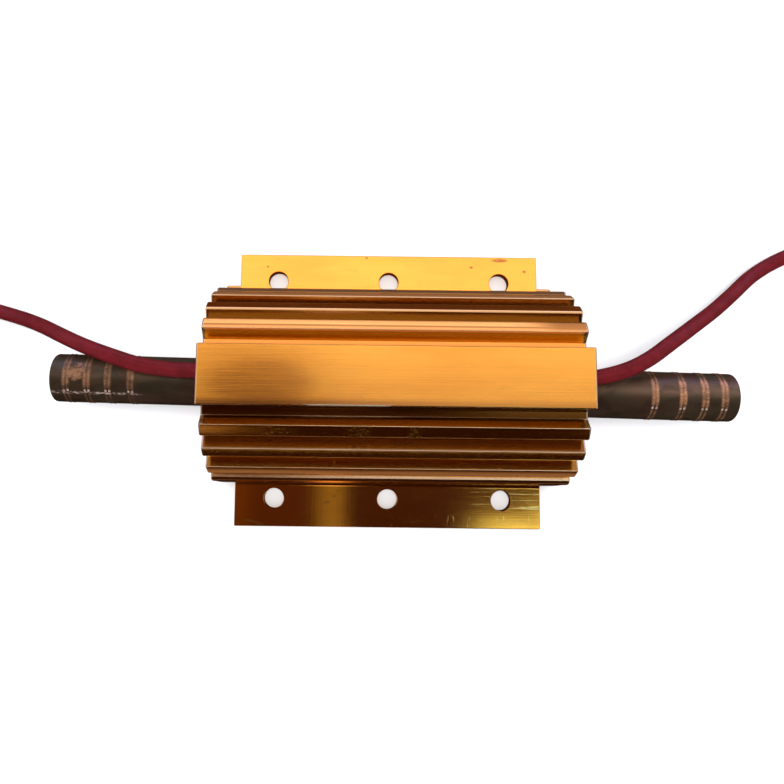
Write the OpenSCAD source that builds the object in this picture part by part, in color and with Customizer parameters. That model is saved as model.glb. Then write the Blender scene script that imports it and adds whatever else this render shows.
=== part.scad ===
// Aluminium housed power resistor with a through cooling pipe and flying leads.
// Origin: centre of the underside of the base flange. X runs along the pipe,
// Y across the flange (+Y is the side the leads lean to), Z up.

/* [Housing] */
// Length of the finned barrel along X
body_l = 88; // [76:1:110]
// Length of the base flange along X (notched back from the barrel's ends)
flange_l = 80.6; // [70:0.2:88]
// Width of the base flange along Y
flange_w = 73; // [70:0.5:84]
// Thickness of the base flange
flange_t = 3; // [2.6:0.1:4]
// Overall height, underside of the flange to the top of the marking bar
body_h = 42; // [41.4:0.1:44]
// Width of the flat marking bar along the top
bar_w = 13.6; // [12:0.2:14]
// Radius of the circle that the fin tips lie on
tip_r = 23.3; // [22.8:0.1:23.6]
// Radius of the groove floors between the fins
core_r = 20.1; // [19:0.1:20.8]
// Height of the barrel's axis above the underside
axis_z = 16.5; // [16:0.1:17]
// Diameter of the bore through the barrel
bore_d = 25; // [23:0.5:26]
// Diameter of the six flange holes
hole_d = 5.3; // [4.5:0.1:6.5]
// Distance between neighbouring holes along X
hole_pitch = 30; // [26:0.5:34]
// Distance between the two rows of holes along Y
row_pitch = 58.4; // [57:0.2:62]

/* [Cooling pipe] */
// Outside diameter of the copper pipe
pipe_d = 12; // [10:0.5:12.5]
// Wall thickness of the copper pipe
pipe_wall = 1; // [0.6:0.1:1.5]
// Length of the pipe
pipe_l = 169; // [150:1:180]
// How far the pipe's middle sits towards +X
pipe_shift = 0.75; // [-2:0.25:2]
// Where the pipe's axis crosses X = 0, along Y
pipe_y = -0.65; // [-0.8:0.05:0.8]
// How far the pipe is turned in plan, its +X end towards -Y, in degrees
pipe_skew = 1.05; // [0:0.05:1.2]
// Height of the rolled beads above the pipe's surface
bead_h = 0.13; // [0.05:0.01:0.14]
// Width of each of the two ridges that make one rolled bead
bead_w = 0.7; // [0.5:0.1:0.9]

/* [Element] */
// Length of the ceramic former on the pipe
former_l = 64; // [50:1:64]
// Outside diameter of the ceramic former
former_d = 17.2; // [16:0.2:17.2]
// Diameter of the resistance wire
wire_d = 0.8; // [0.5:0.1:0.8]
// Number of turns of resistance wire
turns = 34; // [20:1:34]
// Depth of the seal that closes each end of the bore
seal_l = 2.6; // [2:0.1:3]
// How far each seal sits inside the end of the barrel
seal_recess = 0.4; // [0.2:0.1:1]

/* [Leads] */
// Outside diameter of the silicone insulation
lead_d = 3.8; // [3.4:0.1:3.8]
// Diameter of the bare tinned conductor at the stripped end
strand_d = 2; // [1.2:0.1:2.2]
// Length of the stripped end
strip_l = 8; // [5:1:8]

/* [Hidden] */
$fn = 96;

bore_r = bore_d / 2;
lr = lead_d / 2;
inner_l = body_l - 2 * (seal_l + seal_recess);

// Fins on one side, from the top down: [lower edge, upper edge, upper root] in degrees
// above the horizontal through the barrel's axis, then how far the lower and the
// upper edge stop short of the tip circle
fins = [[54.3, 62, 64.3, 0.15, 0.05], [37.9, 45, 48.7, 0.35, 0.2], [16.1, 25.5, 26.5, 0.2, 0.4]];
root_dn = 1.8;    // how far each fin widens to its lower root, degrees
ridge_d = 5.6;    // the lowest ridge, at the top of the skirt, degrees
// The skirt below that ridge flares out to the flange: [Y past the tip circle, height]
skirt = [[1.7, 6], [1.5, 9], [1.3, 11.5], [1.15, 14], [1.05, 16], [0.9, 17.6], [0.55, 18.5]];
foot_r = 1;       // hollow fillet from the skirt to the flange
// The flange's ends are notched beyond these distances from the middle
notch_front = 25.15;
notch_back = 27.8;

// Distances of the rolled beads from the pipe's own ends
beads_left = [4.2, 9.3, 14.4, 20];
beads_right = [4, 8.8, 14.2, 21];

// Centres of the lead holes through the seals, [y, z]
lead_at_left = [2.3, 24.3];
lead_at_right = [1.6, 23.9];

// Routes of the leads' centrelines from inside the seals to their coils
route_left = [[-38, 2.3, 24.3], [-43, 2.3, 24.3], [-48, 2.3, 24.3], [-55, 2.7, 24.2],
    [-61.5, 3.7, 24], [-69, 6, 23], [-76, 8.5, 20.6], [-83, 11.5, 17],
    [-89.5, 14.4, 12.2], [-96, 16.9, 7.2], [-102.5, 19, 3.4], [-109, 20.8, 2],
    [-116, 22.2, 1.9], [-123, 22.8, 1.9], [-129.5, 22.8, 1.9]];
route_right = [[38, 1.6, 23.9], [43, 1.6, 23.9], [48, 1.6, 23.9], [53.5, 2.7, 24],
    [58, 4.2, 23.9], [62.8, 6.7, 23.2], [69.2, 11, 20.8], [76.6, 15.9, 17],
    [84.4, 21, 12], [91.8, 26.4, 7], [98.6, 31.8, 3.5], [105, 35.8, 2],
    [112, 39, 1.9], [119, 41, 1.9], [126, 41.8, 1.9], [132.5, 41.8, 1.9]];

// The coils: flat spirals on the surface that the flange stands on
coil_c_left = [-134.5, -1.4];
coil_c_right = [137.5, 17.6];
coil_ro = 26.1;   // outer radius of the coiled turns
coil_ri = 13.2;   // inner radius of the coiled turns
tie_w = 4;
tie_t = 0.6;
// Tails inside the coils: start from the coil's centre [x, y], heading, length
tail_left = [-11.5, -11, 20, 11.6];
tail_right = [13.5, -2.5, 197, 8.9];
function tie_a(s) = s > 0 ? 65 : 115;

function polar(r, a) = [r * cos(a), axis_z + r * sin(a)];

// Outline of one fin: lower root, rounded lower edge, tip, sharp upper edge, upper root
function fin_outline(f) = let (rl = tip_r - f[3], rh = tip_r - f[4]) concat(
    [polar(core_r, f[0] - root_dn), polar(rl - 0.55, f[0] - 0.15), polar(rl - 0.18, f[0] + 0.35)],
    [for (i = [0:5]) polar(rl + (rh - rl) * i / 5, f[0] + 1.3 + (f[1] - f[0] - 1.3) * i / 5)],
    [polar(core_r, f[2])]);

// Outline of one side of the extrusion, from the flange's underside up to the bar
foot_y = tip_r + skirt[0][0];
side = concat(
    [[flange_w / 2, 0], [flange_w / 2, flange_t]],
    [for (i = [0:4]) [foot_y + foot_r - foot_r * sin(i * 22.5), flange_t + foot_r - foot_r * cos(i * 22.5)]],
    [for (p = skirt) [tip_r + p[0], p[1]]],
    [polar(tip_r, ridge_d), polar(core_r, ridge_d + 0.6)],
    fin_outline(fins[2]), fin_outline(fins[1]), fin_outline(fins[0]),
    [[bar_w / 2 + 0.5, axis_z + core_r * sin(68.5) - 0.35],
     [bar_w / 2 + 0.1, axis_z + core_r * sin(68.5) - 0.1],
     [bar_w / 2, axis_z + core_r * sin(68.5) + 0.4],
     [bar_w / 2, body_h - 0.3], [bar_w / 2 - 0.3, body_h]]);
n_side = len(side);

module section() {
    polygon(concat(side, [for (i = [n_side - 1:-1:0]) [-side[i][0], side[i][1]]]));
}

module along_x(x0, x1) {
    translate([x0, 0, 0]) rotate([90, 0, 90]) linear_extrude(x1 - x0) children();
}

// Places its child, drawn along +Z, on the pipe's own skewed axis
module on_pipe() {
    translate([0, pipe_y, axis_z]) rotate([0, 0, -pipe_skew]) rotate([0, 90, 0]) children();
}

module rod(y, z, x0, x1, r) {
    translate([min(x0, x1), y, z]) rotate([0, 90, 0]) cylinder(h = abs(x1 - x0), r = r);
}

module housing() {
    color([0.86, 0.60, 0.22]) difference() {
        along_x(-body_l / 2, body_l / 2) section();
        // the flange is notched at both ends
        for (s = [-1, 1], t = [-1, 1])
            translate([s > 0 ? flange_l / 2 : -body_l / 2 - 1,
                       t > 0 ? notch_back : -flange_w / 2 - 1, -1])
                cube([(body_l - flange_l) / 2 + 1,
                      flange_w / 2 + 1 - (t > 0 ? notch_back : notch_front), flange_t + 4]);
        translate([-body_l / 2 - 1, 0, axis_z]) rotate([0, 90, 0]) cylinder(h = body_l + 2, r = bore_r);
        for (x = [-1, 0, 1]) for (y = [-1, 1])
            translate([x * hole_pitch, y * row_pitch / 2, -1]) cylinder(h = flange_t + 2, d = hole_d);
    }
}

// One rolled bead: a pair of fine ridges side by side
function bead(z) = [[pipe_d / 2, z - bead_w], [pipe_d / 2 + bead_h, z - bead_w * 0.7],
    [pipe_d / 2 + bead_h, z - bead_w * 0.3], [pipe_d / 2 + bead_h * 0.3, z],
    [pipe_d / 2 + bead_h, z + bead_w * 0.3], [pipe_d / 2 + bead_h, z + bead_w * 0.7],
    [pipe_d / 2, z + bead_w]];

module cooling_pipe() {
    z0 = pipe_shift - pipe_l / 2;
    z1 = pipe_shift + pipe_l / 2;
    ro = pipe_d / 2;
    ri = ro - pipe_wall;
    pts = concat(
        [[ri, z0 + 0.2], [ri + 0.15, z0]],
        [for (i = [0:4]) [ro - 0.8 + 0.8 * sin(i * 22.5), z0 + 0.8 - 0.8 * cos(i * 22.5)]],
        bead(z0 + beads_left[0]), bead(z0 + beads_left[1]),
        bead(z0 + beads_left[2]), bead(z0 + beads_left[3]),
        bead(z1 - beads_right[3]), bead(z1 - beads_right[2]),
        bead(z1 - beads_right[1]), bead(z1 - beads_right[0]),
        [for (i = [4:-1:0]) [ro - 0.8 + 0.8 * sin(i * 22.5), z1 - 0.8 + 0.8 * cos(i * 22.5)]],
        [[ri + 0.15, z1], [ri, z1 - 0.2]]);
    color([0.24, 0.18, 0.15]) on_pipe() rotate_extrude() polygon(pts);
}

module ceramic_former() {
    color([0.93, 0.91, 0.86]) on_pipe() difference() {
        translate([0, 0, -former_l / 2]) cylinder(h = former_l, d = former_d);
        translate([0, 0, -former_l / 2 - 1]) cylinder(h = former_l + 2, d = pipe_d);
    }
}

// Length covered by the turns, and the radius over them
wound_l = former_l - 8;
wound_r = former_d / 2 + wire_d;

// Straight tails of the resistance wire run out to the crimps
module tails(r) {
    rod(lead_at_left[0], lead_at_left[1] + 0.75, -wound_l / 2 + 1, -37, r);
    rod(lead_at_right[0], lead_at_right[1] + 0.75, wound_l / 2 - 1, 37, r);
}

module resistance_winding() {
    p = wound_l / turns;
    pts = concat([[former_d / 2, -wound_l / 2]],
        [for (i = [0:turns - 1], k = [0:3])
            [former_d / 2 + [0.15, 0.62, 0.8, 0.62][k] * wire_d / 0.8,
             -wound_l / 2 + p * (i + [0.02, 0.25, 0.5, 0.75][k])]],
        [[former_d / 2 + 0.15, wound_l / 2], [former_d / 2, wound_l / 2]]);
    color([0.62, 0.60, 0.57]) union() {
        on_pipe() rotate_extrude() polygon(pts);
        difference() {
            tails(0.4);
            on_pipe() translate([0, 0, -former_l / 2 - 1]) cylinder(h = former_l + 2, d = former_d);
        }
    }
}

module crimp(at, s) {
    difference() {
        rod(at[0], at[1], s * 32.6, s * 38, 1.7);
        rod(at[0], at[1] + 0.75, s * 30, s * 37, 0.4);
    }
}
module crimp_left() { color([0.75, 0.75, 0.77]) crimp(lead_at_left, -1); }
module crimp_right() { color([0.75, 0.75, 0.77]) crimp(lead_at_right, 1); }

module potting_cement() {
    color([0.80, 0.78, 0.72]) difference() {
        translate([-inner_l / 2, 0, axis_z]) rotate([0, 90, 0]) cylinder(h = inner_l, r = bore_r);
        on_pipe() {
            translate([0, 0, -inner_l]) cylinder(h = 2 * inner_l, d = pipe_d);
            translate([0, 0, -former_l / 2]) cylinder(h = former_l, d = former_d);
            translate([0, 0, -wound_l / 2]) cylinder(h = wound_l, r = wound_r);
        }
        tails(0.4);
        rod(lead_at_left[0], lead_at_left[1], -32.6, -38, 1.7);
        rod(lead_at_right[0], lead_at_right[1], 32.6, 38, 1.7);
        rod(lead_at_left[0], lead_at_left[1], -38, -body_l, lr);
        rod(lead_at_right[0], lead_at_right[1], 38, body_l, lr);
    }
}

module end_seal(at, s) {
    x0 = s * inner_l / 2;
    x1 = s * (body_l / 2 - seal_recess);
    difference() {
        translate([min(x0, x1), 0, axis_z]) rotate([0, 90, 0]) cylinder(h = seal_l, r = bore_r);
        on_pipe() translate([0, 0, -body_l]) cylinder(h = 2 * body_l, d = pipe_d);
        rod(at[0], at[1], s * 30, s * body_l, lr);
    }
}
module end_seal_left() { color([0.88, 0.87, 0.84]) end_seal(lead_at_left, -1); }
module end_seal_right() { color([0.88, 0.87, 0.84]) end_seal(lead_at_right, 1); }

// A round cord swept along points, eight sides, one ring at each point
function unit(v) = v / norm(v);
function tangent(p, i) = unit(p[min(i + 1, len(p) - 1)] - p[max(i - 1, 0)]);
function ring(p, i, r) = let (t = tangent(p, i), u = unit(cross([0, 0, 1], t)), w = cross(t, u))
    [for (k = [0:7]) p[i] + r * (cos(45 * k + 22.5) * u + sin(45 * k + 22.5) * w)];
module cord(p, r) {
    n = len(p);
    polyhedron(
        points = [for (i = [0:n - 1]) each ring(p, i, r)],
        faces = concat(
            [[for (k = [0:7]) k]],
            [for (i = [0:n - 2], k = [0:7]) [8 * i + k, 8 * (i + 1) + k, 8 * (i + 1) + (k + 1) % 8]],
            [for (i = [0:n - 2], k = [0:7]) [8 * i + k, 8 * (i + 1) + (k + 1) % 8, 8 * i + (k + 1) % 8]],
            [[for (k = [7:-1:0]) 8 * (n - 1) + k]]),
        convexity = 4);
}
module lead_left() { color([0.45, 0.08, 0.13]) cord(route_left, lr); }
module lead_right() { color([0.45, 0.08, 0.13]) cord(route_right, lr); }

// Solid over the coiled turns, with a channel for the lead and a place for the tie
module coil(c, last, tail, s) {
    difference() {
        union() {
            translate([c[0], c[1], 0]) rotate_extrude() polygon([
                [coil_ri + 1.1, 0], [coil_ro - 1.1, 0], [coil_ro - 0.3, 0.6], [coil_ro, lr],
                [coil_ro - 0.3, lead_d - 0.6], [coil_ro - 1.1, lead_d],
                [coil_ri + 1.1, lead_d], [coil_ri + 0.3, lead_d - 0.6], [coil_ri, lr], [coil_ri + 0.3, 0.6]]);
            // the tail, turned in from the inner turn
            on_tail(c, tail) cylinder(h = tail[3], r = lr - 0.1);
        }
        // the lead's last straight stretch lies in this slot
        translate([s > 0 ? last[0] - 14 : last[0], last[1] - lr - 0.15, -1]) cube([14, 14, lead_d + 2]);
        translate([c[0], c[1], 0]) rotate([0, 0, tie_a(s)]) tie_space();
    }
}
// Carries its child, drawn along +Z, to where the tail runs in the coil's hole
module on_tail(c, tail) {
    translate([c[0] + tail[0], c[1] + tail[1], lr]) rotate([0, 0, tail[2]])
        rotate([0, 90, 0]) children();
}
module lead_coil_left() { color([0.45, 0.08, 0.13]) coil(coil_c_left, route_left[len(route_left) - 1], tail_left, -1); }
module lead_coil_right() { color([0.45, 0.08, 0.13]) coil(coil_c_right, route_right[len(route_right) - 1], tail_right, 1); }

// The tie is a flat nylon band round the turns, drawn across +X
module tie_space() {
    for (z = [-1, lead_d - tie_t])
        translate([coil_ri - 2, -tie_w / 2, z])
            cube([coil_ro - coil_ri + 4, tie_w, 1 + tie_t]);
}
module tie(c, s) {
    x0 = coil_ri - 0.4;
    x1 = coil_ro + 0.4;
    translate([c[0], c[1], 0]) rotate([0, 0, tie_a(s)]) {
        difference() {
            translate([x0 - tie_t, -tie_w / 2, 0]) cube([x1 - x0 + 2 * tie_t, tie_w, lead_d]);
            translate([x0, -tie_w / 2 - 1, tie_t]) cube([x1 - x0, tie_w + 2, lead_d - 2 * tie_t]);
        }
        // the head of the tie, on the outside of the coil
        translate([x1 + 0.1, -2.6, 0]) cube([3.2, 5.2, 4]);
    }
}
module coil_tie_left() { color([0.93, 0.93, 0.90]) tie(coil_c_left, -1); }
module coil_tie_right() { color([0.93, 0.93, 0.90]) tie(coil_c_right, 1); }

module stripped_end_left() {
    color([0.80, 0.80, 0.82]) on_tail(coil_c_left, tail_left) translate([0, 0, tail_left[3]]) cylinder(h = strip_l, d = strand_d);
}
module stripped_end_right() {
    color([0.80, 0.80, 0.82]) on_tail(coil_c_right, tail_right) translate([0, 0, tail_right[3]]) cylinder(h = strip_l, d = strand_d);
}

housing();
cooling_pipe();
ceramic_former();
resistance_winding();
potting_cement();
end_seal_left();
end_seal_right();
crimp_left();
crimp_right();
lead_left();
lead_right();
lead_coil_left();
lead_coil_right();
coil_tie_left();
coil_tie_right();
stripped_end_left();
stripped_end_right();
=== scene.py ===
import math

import bmesh
import bpy
from mathutils import Matrix, Vector, noise


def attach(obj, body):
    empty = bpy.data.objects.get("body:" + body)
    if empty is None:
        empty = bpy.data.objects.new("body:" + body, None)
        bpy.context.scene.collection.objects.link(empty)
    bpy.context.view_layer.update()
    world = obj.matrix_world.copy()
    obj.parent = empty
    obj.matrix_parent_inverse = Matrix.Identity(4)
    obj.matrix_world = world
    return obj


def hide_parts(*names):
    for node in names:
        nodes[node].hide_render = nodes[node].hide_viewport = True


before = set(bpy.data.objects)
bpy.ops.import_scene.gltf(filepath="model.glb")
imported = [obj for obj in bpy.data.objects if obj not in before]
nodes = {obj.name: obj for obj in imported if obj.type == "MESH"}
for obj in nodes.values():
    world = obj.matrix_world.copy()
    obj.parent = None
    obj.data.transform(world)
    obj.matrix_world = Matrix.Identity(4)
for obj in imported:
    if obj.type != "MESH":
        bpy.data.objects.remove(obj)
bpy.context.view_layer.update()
scene = bpy.context.scene
MM = 0.001

# ---------------------------------------------------------------- dimensions, mm
BODY_L, FLANGE_L, FLANGE_W, FLANGE_T, BODY_H = 88.0, 80.6, 73.0, 3.0, 42.0
BAR_W, TIP_R, CORE_R, AXIS_Z, BORE_R = 13.6, 23.3, 20.1, 16.5, 12.5
HOLE_R, HOLE_PITCH, ROW = 2.65, 30.0, 29.2
FINS = [(54.3, 62.0, 64.3, 0.15, 0.05), (37.9, 45.0, 48.7, 0.35, 0.2), (16.1, 25.5, 26.5, 0.2, 0.4)]
ROOT_DN, RIDGE_D = 1.8, 5.6
SKIRT = [(25.0, 6.0), (24.8, 9.0), (24.6, 11.5), (24.45, 14.0), (24.35, 16.0), (24.2, 17.6), (23.85, 18.5)]
NOTCH_FRONT, NOTCH_BACK = 25.15, 27.8
PIPE_R, PIPE_WALL, PIPE_L, PIPE_SHIFT, PIPE_Y, PIPE_SKEW = 6.0, 1.0, 169.0, 0.75, -0.65, 1.05
BEAD_H, BEAD_W = 0.13, 0.7
BEADS_L, BEADS_R = (4.2, 9.3, 14.4, 20.0), (4.0, 8.8, 14.2, 21.0)
SEAL_L, SEAL_RECESS = 2.6, 0.4
LEAD_D, STRAND_D, STRIP_L = 3.8, 2.0, 8.0
LEAD_AT = {-1: (2.3, 24.3), 1: (1.6, 23.9)}
ROUTE = {
    -1: [(-43.5, 2.3, 24.3), (-48, 2.3, 24.3), (-55, 2.7, 24.2), (-61.5, 3.7, 24), (-69, 6.0, 23),
         (-76, 8.5, 20.6), (-83, 11.5, 17), (-89.5, 14.4, 12.2), (-96, 16.9, 7.2), (-102.5, 19, 3.4),
         (-109, 20.8, 2), (-116, 22.2, 1.9), (-123, 22.8, 1.9), (-129.5, 22.8, 1.9)],
    1: [(43.5, 1.6, 23.9), (48, 1.6, 23.9), (53.5, 2.7, 24), (58, 4.2, 23.9), (62.8, 6.7, 23.2),
        (69.2, 11, 20.8), (76.6, 15.9, 17), (84.4, 21, 12), (91.8, 26.4, 7), (98.6, 31.8, 3.5),
        (105, 35.8, 2), (112, 39, 1.9), (119, 41, 1.9), (126, 41.8, 1.9), (132.5, 41.8, 1.9)],
}
COIL_C = {-1: (-134.5, -1.4), 1: (137.5, 17.6)}
COIL_TURNS = {-1: 2.263, 1: 2.162}
COIL_R0, COIL_PITCH = 24.2, 3.9
TIE_A, TIE_W = 115.0, 4.0


# ---------------------------------------------------------------- camera
def make_camera():
    data = bpy.data.cameras.new("camera")
    cam = bpy.data.objects.new("camera", data)
    scene.collection.objects.link(cam)
    rows = ((0.99992848, 0.01193263, 0.00080337),
            (-0.01194616, 0.99335743, 0.11444782),
            (0.00056763, -0.11444923, 0.99342894))
    rot = Matrix(rows).transposed()
    cam.matrix_world = Matrix.Translation(Vector((-9.526035, -15.826258, 210.166822)) * MM) @ rot.to_4x4()
    data.sensor_width = 36.0
    data.lens = 773.2986 / 784.0 * 36.0
    data.shift_x = (392.0 - 352.4107) / 784.0
    data.shift_y = (358.9949 - 392.0) / 784.0
    data.clip_start, data.clip_end = 0.01, 20.0
    scene.camera = cam
    return cam


make_camera()


# ---------------------------------------------------------------- small helpers
def v_lerp(a, b, t):
    return a + (b - a) * t


def smoothstep(lo, hi, x):
    t = max(0.0, min(1.0, (x - lo) / (hi - lo)))
    return t * t * (3 - 2 * t)


def through(points, step):
    """A smooth line through the points, as points about one step apart."""
    p = [Vector(q) for q in points]
    p = [p[0] * 2 - p[1]] + p + [p[-1] * 2 - p[-2]]
    fine = []
    for i in range(1, len(p) - 2):
        a, b, c, d = p[i - 1], p[i], p[i + 1], p[i + 2]
        t0, t1 = 0.0, max(1e-9, (b - a).length ** 0.5)
        t2 = t1 + max(1e-9, (c - b).length ** 0.5)
        t3 = t2 + max(1e-9, (d - c).length ** 0.5)
        n = max(2, int((c - b).length / (step * 0.25)))
        for k in range(n):
            t = v_lerp(t1, t2, k / n)
            a1 = a * ((t1 - t) / (t1 - t0)) + b * ((t - t0) / (t1 - t0))
            a2 = b * ((t2 - t) / (t2 - t1)) + c * ((t - t1) / (t2 - t1))
            a3 = c * ((t3 - t) / (t3 - t2)) + d * ((t - t2) / (t3 - t2))
            b1 = a1 * ((t2 - t) / (t2 - t0)) + a2 * ((t - t0) / (t2 - t0))
            b2 = a2 * ((t3 - t) / (t3 - t1)) + a3 * ((t - t1) / (t3 - t1))
            fine.append(b1 * ((t2 - t) / (t2 - t1)) + b2 * ((t - t1) / (t2 - t1)))
    fine.append(p[-2])
    lengths = [0.0]
    for a, b in zip(fine, fine[1:]):
        lengths.append(lengths[-1] + (b - a).length)
    n = max(2, round(lengths[-1] / step))
    out, j = [], 0
    for k in range(n + 1):
        s = lengths[-1] * k / n
        while j < len(fine) - 2 and lengths[j + 1] < s:
            j += 1
        f = (s - lengths[j]) / max(1e-9, lengths[j + 1] - lengths[j])
        out.append(fine[j].lerp(fine[j + 1], max(0.0, min(1.0, f))))
    return out


def line_length(pts):
    return sum((b - a).length for a, b in zip(pts, pts[1:]))


def link_mesh(name, bm, smooth_angle=None, mats=()):
    mesh = bpy.data.meshes.new(name)
    bm.to_mesh(mesh)
    bm.free()
    for m in mats:
        mesh.materials.append(m)
    if smooth_angle is not None:
        mesh.shade_smooth()
        mesh.set_sharp_from_angle(angle=math.radians(smooth_angle))
    obj = bpy.data.objects.new(name, mesh)
    scene.collection.objects.link(obj)
    return obj


def apply_modifiers(obj):
    dg = bpy.context.evaluated_depsgraph_get()
    mesh = bpy.data.meshes.new_from_object(obj.evaluated_get(dg), preserve_all_data_layers=True, depsgraph=dg)
    obj.modifiers.clear()
    obj.data = mesh


# ---------------------------------------------------------------- leads: their own routes first
def coil_path(side):
    """Flat spiral inwards from the top of the coil, then the tail turned into its hole, mm."""
    turns = COIL_TURNS[side]
    pts = []
    n = int(turns * 36)
    heading = 0.0
    for i in range(n + 1):
        t = turns * i / n
        a = math.radians(90 + 360 * t)
        r = COIL_R0 - COIL_PITCH * t
        off = abs(((90 + 360 * t - TIE_A) + 180) % 360 - 180)
        pts.append(Vector((r * math.cos(a), r * math.sin(a), LEAD_D / 2 + 0.6 * (1 - smoothstep(7, 30, off)))))
    a = math.radians(90 + 360 * turns)
    heading = a + math.pi / 2
    # tail: an arc of 8.5 mm radius, 110 degrees, then 3 mm straight
    p = pts[-1].copy()
    c = p + Vector((math.cos(heading + math.pi / 2), math.sin(heading + math.pi / 2), 0)) * 8.5
    for k in range(1, 13):
        b = heading - math.pi / 2 + math.radians(110 * k / 12)
        q = c + Vector((math.cos(b), math.sin(b), 0)) * 8.5
        pts.append(Vector((q.x, q.y, LEAD_D / 2)))
    h = heading + math.radians(110)
    pts.append(pts[-1] + Vector((math.cos(h), math.sin(h), 0)) * 3)
    cx, cy = COIL_C[side]
    return [Vector((cx - side * q.x, cy + q.y, q.z)) for q in pts]


def lead_path(side):
    pts = [Vector(q) for q in ROUTE[side]] + coil_path(side)
    return through(pts, 1.6)


def tube_curve(name, pts, radius, mat):
    curve = bpy.data.curves.new(name, "CURVE")
    curve.dimensions = "3D"
    sp = curve.splines.new("POLY")
    sp.points.add(len(pts) - 1)
    for q, p in zip(sp.points, pts):
        q.co = (p.x * MM, p.y * MM, p.z * MM, 1)
    sp.use_smooth = True
    curve.bevel_depth = radius * MM
    curve.bevel_resolution = 8
    curve.use_fill_caps = True
    curve.materials.append(mat)
    obj = bpy.data.objects.new(name, curve)
    scene.collection.objects.link(obj)
    return obj


# ---------------------------------------------------------------- material helper
class Mat:
    """A node material with short calls for the nodes used here."""

    def __init__(self, name, **sockets):
        self.m = bpy.data.materials.new(name)
        self.m.use_nodes = True
        self.t = self.m.node_tree
        self.t.nodes.clear()
        self.out = self.t.nodes.new("ShaderNodeOutputMaterial")
        self.b = self.t.nodes.new("ShaderNodeBsdfPrincipled")
        self.t.links.new(self.b.outputs[0], self.out.inputs[0])
        for k, v in sockets.items():
            self.b.inputs[k.replace("_", " ")].default_value = v

    def node(self, kind, **props):
        n = self.t.nodes.new("ShaderNode" + kind)
        for k, v in props.items():
            setattr(n, k, v)
        return n

    def put(self, socket, value):
        if isinstance(value, bpy.types.NodeSocket):
            self.t.links.new(value, socket)
        else:
            socket.default_value = value

    def coords(self):
        """Position in the object's own space, in millimetres."""
        tc = self.node("TexCoord")
        vm = self.node("VectorMath", operation="SCALE")
        self.put(vm.inputs[0], tc.outputs["Object"])
        vm.inputs["Scale"].default_value = 1000.0
        return vm.outputs[0]

    def stretch(self, vec, sx, sy, sz, offset=(0, 0, 0)):
        mp = self.node("Mapping")
        self.put(mp.inputs["Vector"], vec)
        mp.inputs["Scale"].default_value = (sx, sy, sz)
        mp.inputs["Location"].default_value = offset
        return mp.outputs[0]

    def split(self, vec):
        s = self.node("SeparateXYZ")
        self.put(s.inputs[0], vec)
        return s.outputs[0], s.outputs[1], s.outputs[2]

    def join(self, x, y, z):
        c = self.node("CombineXYZ")
        for s, v in zip(c.inputs, (x, y, z)):
            self.put(s, v)
        return c.outputs[0]

    def noise(self, vec, scale=1.0, detail=2.0, rough=0.5, distort=0.0):
        n = self.node("TexNoise")
        self.put(n.inputs["Vector"], vec)
        n.inputs["Scale"].default_value = scale
        n.inputs["Detail"].default_value = detail
        n.inputs["Roughness"].default_value = rough
        n.inputs["Distortion"].default_value = distort
        return n.outputs[0]

    def voronoi(self, vec, scale=1.0, feature="F1", out="Distance", random=1.0):
        n = self.node("TexVoronoi", feature=feature)
        self.put(n.inputs["Vector"], vec)
        n.inputs["Scale"].default_value = scale
        n.inputs["Randomness"].default_value = random
        return n.outputs[out]

    def math(self, op, a, b=0.0, c=0.0, clamp=False):
        n = self.node("Math", operation=op, use_clamp=clamp)
        for s, v in zip(n.inputs, (a, b, c)):
            self.put(s, v)
        return n.outputs[0]

    def step(self, x, lo, hi, to_lo=0.0, to_hi=1.0):
        n = self.node("MapRange", interpolation_type="SMOOTHSTEP")
        for s, v in zip(n.inputs, (x, lo, hi, to_lo, to_hi)):
            self.put(s, v)
        return n.outputs[0]

    def line(self, x, lo, hi, to_lo=0.0, to_hi=1.0):
        n = self.node("MapRange")
        for s, v in zip(n.inputs, (x, lo, hi, to_lo, to_hi)):
            self.put(s, v)
        return n.outputs[0]

    def mix(self, f, a, b, blend="MIX"):
        n = self.node("Mix", data_type="RGBA", blend_type=blend)
        self.put(n.inputs[0], f)
        for s, v in ((n.inputs[6], a), (n.inputs[7], b)):
            if isinstance(v, tuple) and len(v) == 3:
                v = (*v, 1.0)
            self.put(s, v)
        return n.outputs[2]

    def mixf(self, f, a, b):
        n = self.node("Mix", data_type="FLOAT")
        self.put(n.inputs[0], f)
        self.put(n.inputs[2], a)
        self.put(n.inputs[3], b)
        return n.outputs[0]

    def bump(self, height, strength=1.0, distance_mm=0.01, normal=None):
        n = self.node("Bump")
        self.put(n.inputs["Height"], height)
        n.inputs["Strength"].default_value = strength
        n.inputs["Distance"].default_value = distance_mm * MM
        if normal is not None:
            self.put(n.inputs["Normal"], normal)
        return n.outputs[0]

    def normal(self):
        return self.node("NewGeometry").outputs["True Normal"]

    def set(self, **sockets):
        for k, v in sockets.items():
            if isinstance(v, tuple) and len(v) == 3 and "Color" in k:
                v = (*v, 1.0)
            self.put(self.b.inputs[k.replace("_", " ")], v)
        return self


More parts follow.
